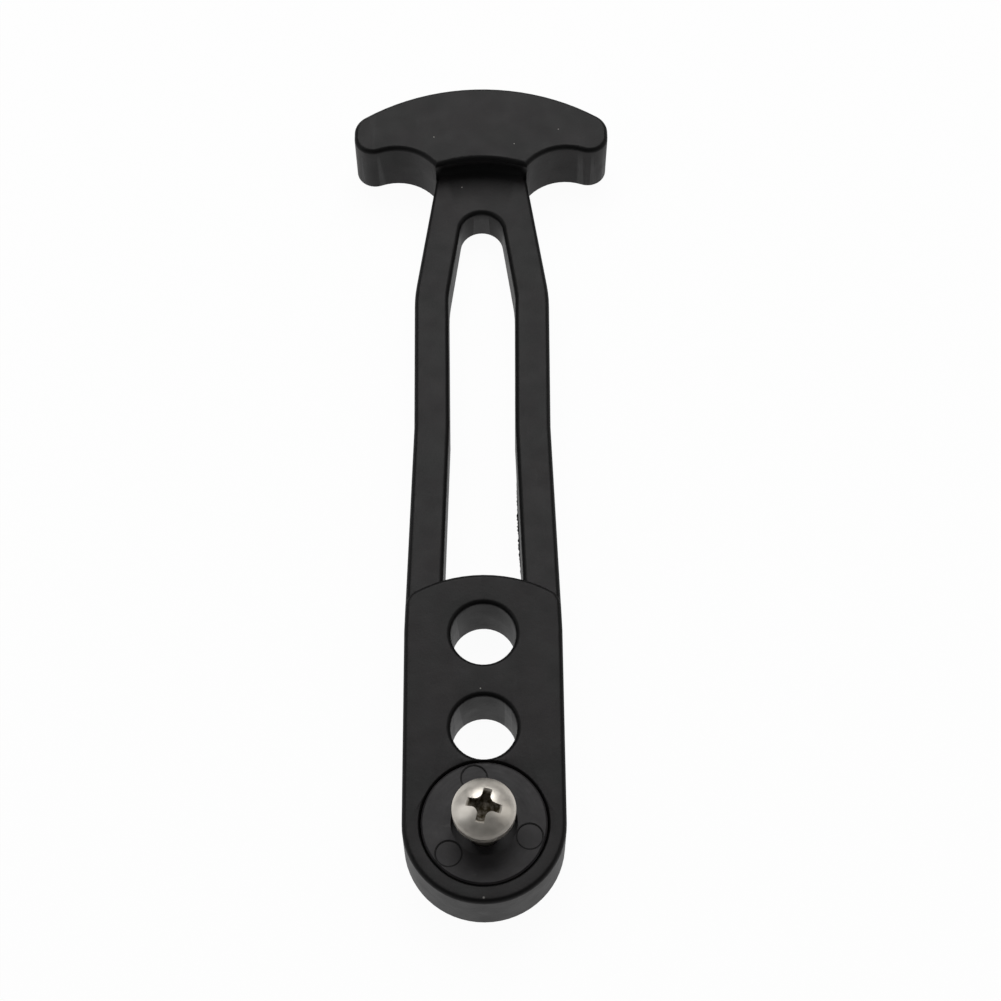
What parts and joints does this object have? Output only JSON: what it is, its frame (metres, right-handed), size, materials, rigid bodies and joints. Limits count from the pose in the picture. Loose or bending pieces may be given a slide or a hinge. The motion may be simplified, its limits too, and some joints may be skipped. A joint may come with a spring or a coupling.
{
  "type": "rubber t draw latch",
  "caption": "Rubber draw latch strap with a T handle, a long stretch window and cross holes, swivelling on a flanged bush held by a pan head screw.",
  "frame": {"origin": "on the pivot axis, at the strap's flat back face", "axes": "+Y along the strap to the T handle, +Z out of the front face along the pivot axis, +X to the right seen from the front"},
  "size_m": [0.0468, 0.156, 0.0196],
  "materials": {
    "black_rubber": "semi-matte moulded rubber",
    "black_plastic": "smooth moulded nylon, lightly scuffed",
    "stainless": "satin stainless steel"
  },
  "bodies": {
    "pivot": {"pivot_bush": "black_plastic", "screw": "stainless"},
    "strap": {"strap": "black_rubber"}
  },
  "joints": [
    {"name": "strap_swivel", "type": "hinge", "parent": "pivot", "child": "strap", "pos_m": [0, 0, 0], "axis": [0, 0, 1], "continuous": true}
  ]
}
